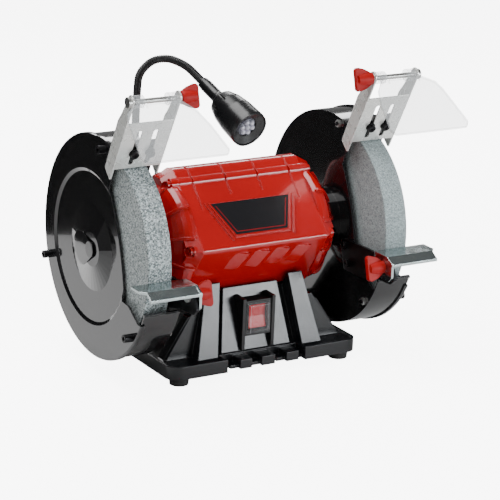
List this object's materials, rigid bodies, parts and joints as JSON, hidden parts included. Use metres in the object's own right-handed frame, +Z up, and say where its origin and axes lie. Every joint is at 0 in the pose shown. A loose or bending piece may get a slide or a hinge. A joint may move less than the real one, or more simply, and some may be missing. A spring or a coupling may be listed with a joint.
{
  "type": "bench grinder",
  "caption": "Two-wheel bench grinder with spark guards, eye shields, tool rests and a flexible work lamp.",
  "frame": {"origin": "on the bench plane, under the middle of the shaft", "axes": "+X along the shaft to the right as seen from the front, +Y to the back, +Z up"},
  "size_m": [0.3578, 0.2622, 0.3055],
  "materials": {
    "red_housing": "gloss",
    "black_plastic": "satin",
    "black_gloss": "gloss",
    "galvanised": "satin",
    "steel": "satin",
    "black_steel": "satin",
    "clear_plastic": "clear",
    "red_plastic": "gloss",
    "coarse_wheel": "matte",
    "fine_wheel": "matte",
    "rubber": "matte",
    "copper": "satin",
    "laminations": "satin",
    "paper": "matte",
    "label": "gloss",
    "switch_red": "gloss",
    "board": "matte",
    "diode": "clear"
  },
  "bodies": {
    "base": {"base_housing": "black_plastic", "bottom_plate": "black_steel", "rubber_feet": "rubber", "motor_bolts": "steel", "cable_gland": "black_plastic", "run_capacitor": "black_plastic", "terminal_block": "black_plastic", "switch_bezel": "black_plastic", "rocker_pin": "steel", "switch_cover": "clear_plastic", "motor_housing": "red_housing", "label_panel": "label", "left_end_cap": "red_housing", "right_end_cap": "red_housing", "end_cap_screws": "steel", "stator_core": "laminations", "stator_windings": "copper", "bearing_outer_rings": "steel", "left_guard": "black_gloss", "right_guard": "black_gloss", "left_guard_cover": "black_gloss", "right_guard_cover": "black_gloss", "cover_screws": "black_steel", "cover_nuts": "steel", "cover_spacers": "steel", "guard_screws": "steel", "bracket_screws": "black_steel", "left_rest_arm": "black_steel", "right_rest_arm": "black_steel", "arm_screws": "steel", "rest_bolts": "steel", "lamp_socket": "black_plastic"},
    "rotor": {"shaft": "steel", "rotor_core": "laminations", "left_wheel": "coarse_wheel", "right_wheel": "fine_wheel", "wheel_flanges": "steel", "paper_blotters": "paper", "arbor_nuts": "steel", "bearing_inner_rings": "steel"},
    "ball_cages": {"bearing_balls": "steel", "bearing_cages": "steel"},
    "rocker": {"switch_rocker": "switch_red"},
    "lamp_arm": {"lamp_neck": "black_steel"},
    "lamp": {"lamp_collar": "black_plastic", "lamp_head": "black_plastic", "lamp_board": "board", "lamp_diodes": "diode"},
    "left_spark_guard": {"left_spark_bracket": "galvanised", "left_hinge_bolt": "black_steel"},
    "left_shield": {"left_eye_shield": "clear_plastic"},
    "left_shield_nut": {"left_shield_knob": "red_plastic"},
    "left_rest": {"left_tool_rest": "galvanised"},
    "left_rest_nut": {"left_rest_knob": "red_plastic"},
    "right_spark_guard": {"right_spark_bracket": "galvanised", "right_hinge_bolt": "black_steel"},
    "right_shield": {"right_eye_shield": "clear_plastic"},
    "right_shield_nut": {"right_shield_knob": "red_plastic"},
    "right_rest": {"right_tool_rest": "galvanised"},
    "right_rest_nut": {"right_rest_knob": "red_plastic"}
  },
  "joints": [
    {"name": "rotor_spin", "type": "hinge", "parent": "base", "child": "rotor", "pos_m": [0, 0, 0.128], "axis": [1, 0, 0], "continuous": true},
    {"name": "cage_spin", "type": "hinge", "parent": "base", "child": "ball_cages", "pos_m": [0, 0, 0.128], "axis": [1, 0, 0], "continuous": true},
    {"name": "rocker_tip", "type": "hinge", "parent": "base", "child": "rocker", "pos_m": [0, -0.05, 0.053], "axis": [1, 0, 0], "range_deg": [0, 10]},
    {"name": "lamp_swing", "type": "hinge", "parent": "base", "child": "lamp_arm", "pos_m": [-0.0785, 0.06, 0.178], "axis": [0, 0, 1], "range_deg": [0, 60]},
    {"name": "lamp_bend", "type": "hinge", "parent": "lamp_arm", "child": "lamp", "pos_m": [-0.067, 0.029, 0.3], "axis": [0.4711, 0.8821, 0], "range_deg": [-15, 15], "deforming": ["lamp_neck"]},
    {"name": "left_spark_slide", "type": "slide", "parent": "base", "child": "left_spark_guard", "axis": [0, -0.4772, 0.8788], "range_m": [0, 0.009]},
    {"name": "left_shield_tilt", "type": "hinge", "parent": "left_spark_guard", "child": "left_shield", "pos_m": [0, -0.08203, 0.28999], "axis": [-1, 0, 0], "range_deg": [-5, 60]},
    {"name": "left_shield_knob_turn", "type": "hinge", "parent": "left_spark_guard", "child": "left_shield_nut", "pos_m": [-0.1, -0.08203, 0.28999], "axis": [1, 0, 0], "range_deg": [0, 360]},
    {"name": "left_rest_slide", "type": "slide", "parent": "base", "child": "left_rest", "axis": [0, -1, 0], "range_m": [0, 0.008]},
    {"name": "left_rest_knob_turn", "type": "hinge", "parent": "base", "child": "left_rest_nut", "pos_m": [-0.1, -0.118, 0.108], "axis": [1, 0, 0], "range_deg": [0, 360]},
    {"name": "right_spark_slide", "type": "slide", "parent": "base", "child": "right_spark_guard", "axis": [0, -0.4772, 0.8788], "range_m": [0, 0.009]},
    {"name": "right_shield_tilt", "type": "hinge", "parent": "right_spark_guard", "child": "right_shield", "pos_m": [0, -0.08203, 0.28999], "axis": [-1, 0, 0], "range_deg": [-5, 60]},
    {"name": "right_shield_knob_turn", "type": "hinge", "parent": "right_spark_guard", "child": "right_shield_nut", "pos_m": [0.1, -0.08203, 0.28999], "axis": [1, 0, 0], "range_deg": [0, 360]},
    {"name": "right_rest_slide", "type": "slide", "parent": "base", "child": "right_rest", "axis": [0, -1, 0], "range_m": [0, 0.008]},
    {"name": "right_rest_knob_turn", "type": "hinge", "parent": "base", "child": "right_rest_nut", "pos_m": [0.1, -0.118, 0.108], "axis": [1, 0, 0], "range_deg": [0, 360]}
  ],
  "couplings": [
    {"joint": "cage_spin", "follows": "rotor_spin", "ratio": 0.3807}
  ]
}
